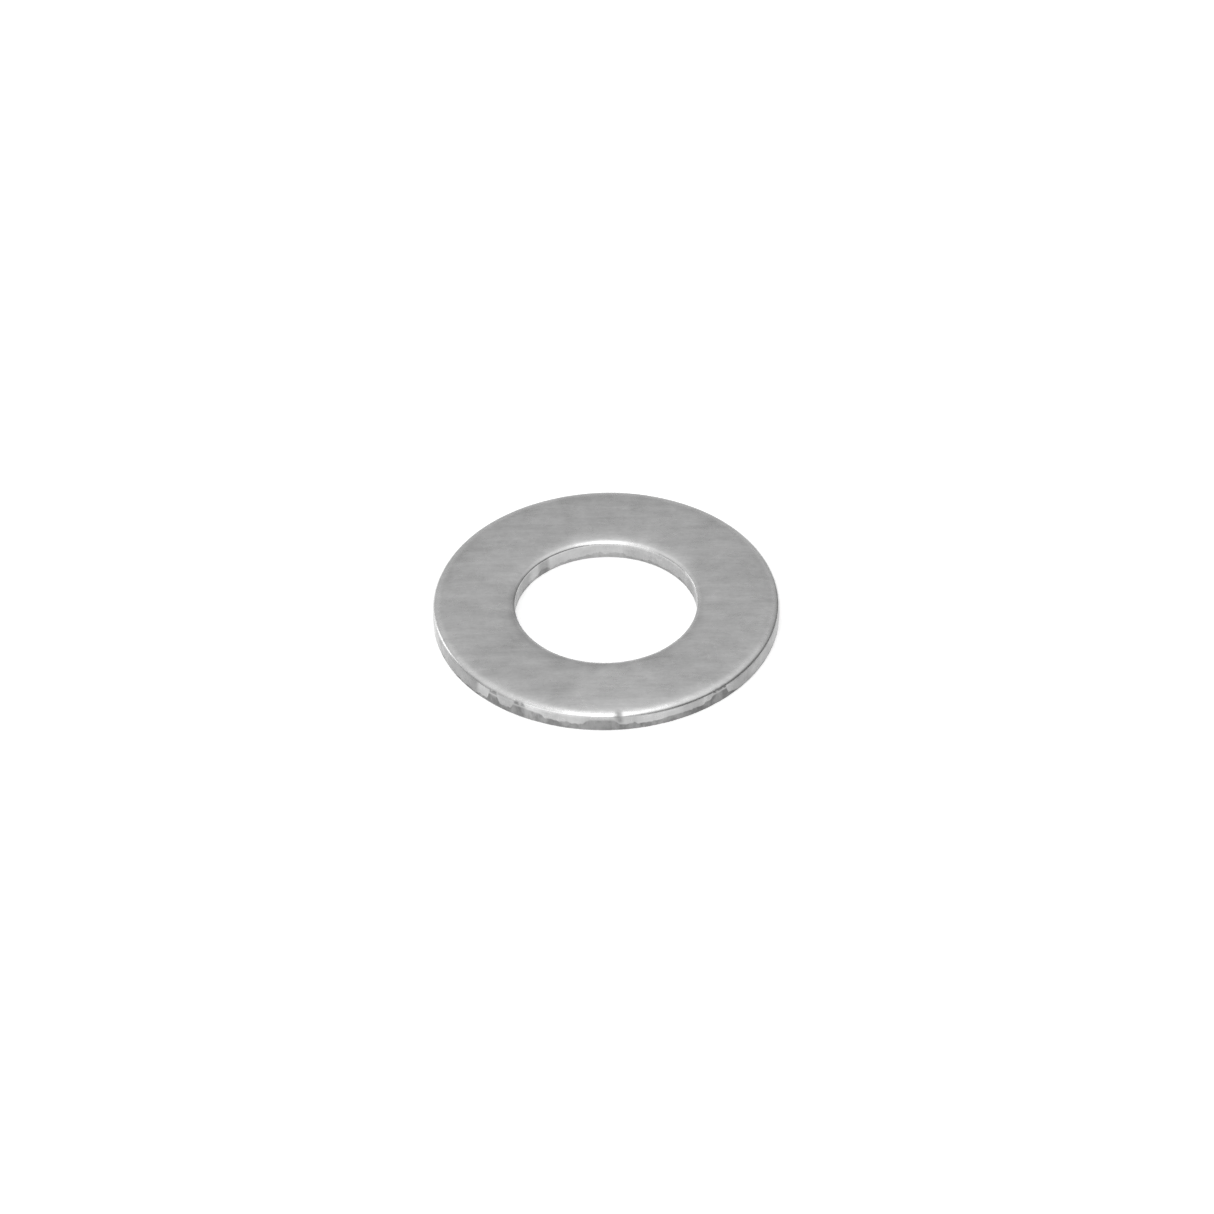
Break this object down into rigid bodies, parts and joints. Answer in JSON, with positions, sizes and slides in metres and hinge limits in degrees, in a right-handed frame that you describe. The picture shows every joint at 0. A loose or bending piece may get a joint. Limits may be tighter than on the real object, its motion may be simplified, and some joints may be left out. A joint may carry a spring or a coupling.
{
  "type": "flat washer",
  "caption": "Plain round flat washer punched from thin bright steel sheet, with rolled top edges, for spreading the load under a bolt head or nut.",
  "frame": {"origin": "centre of the bore, in the plane of the underside that rests on a surface", "axes": "+Z along the bore axis, out of the rolled top face; X and Y lie in the underside, and the ring is the same in every direction about Z"},
  "size_m": [0.016, 0.016, 0.001],
  "materials": {
    "washer": "bright tumbled sheet steel, satin faces, glossy rolled edges and a duller sheared wall"
  },
  "bodies": {
    "root": {"washer": "washer"}
  },
  "joints": []
}
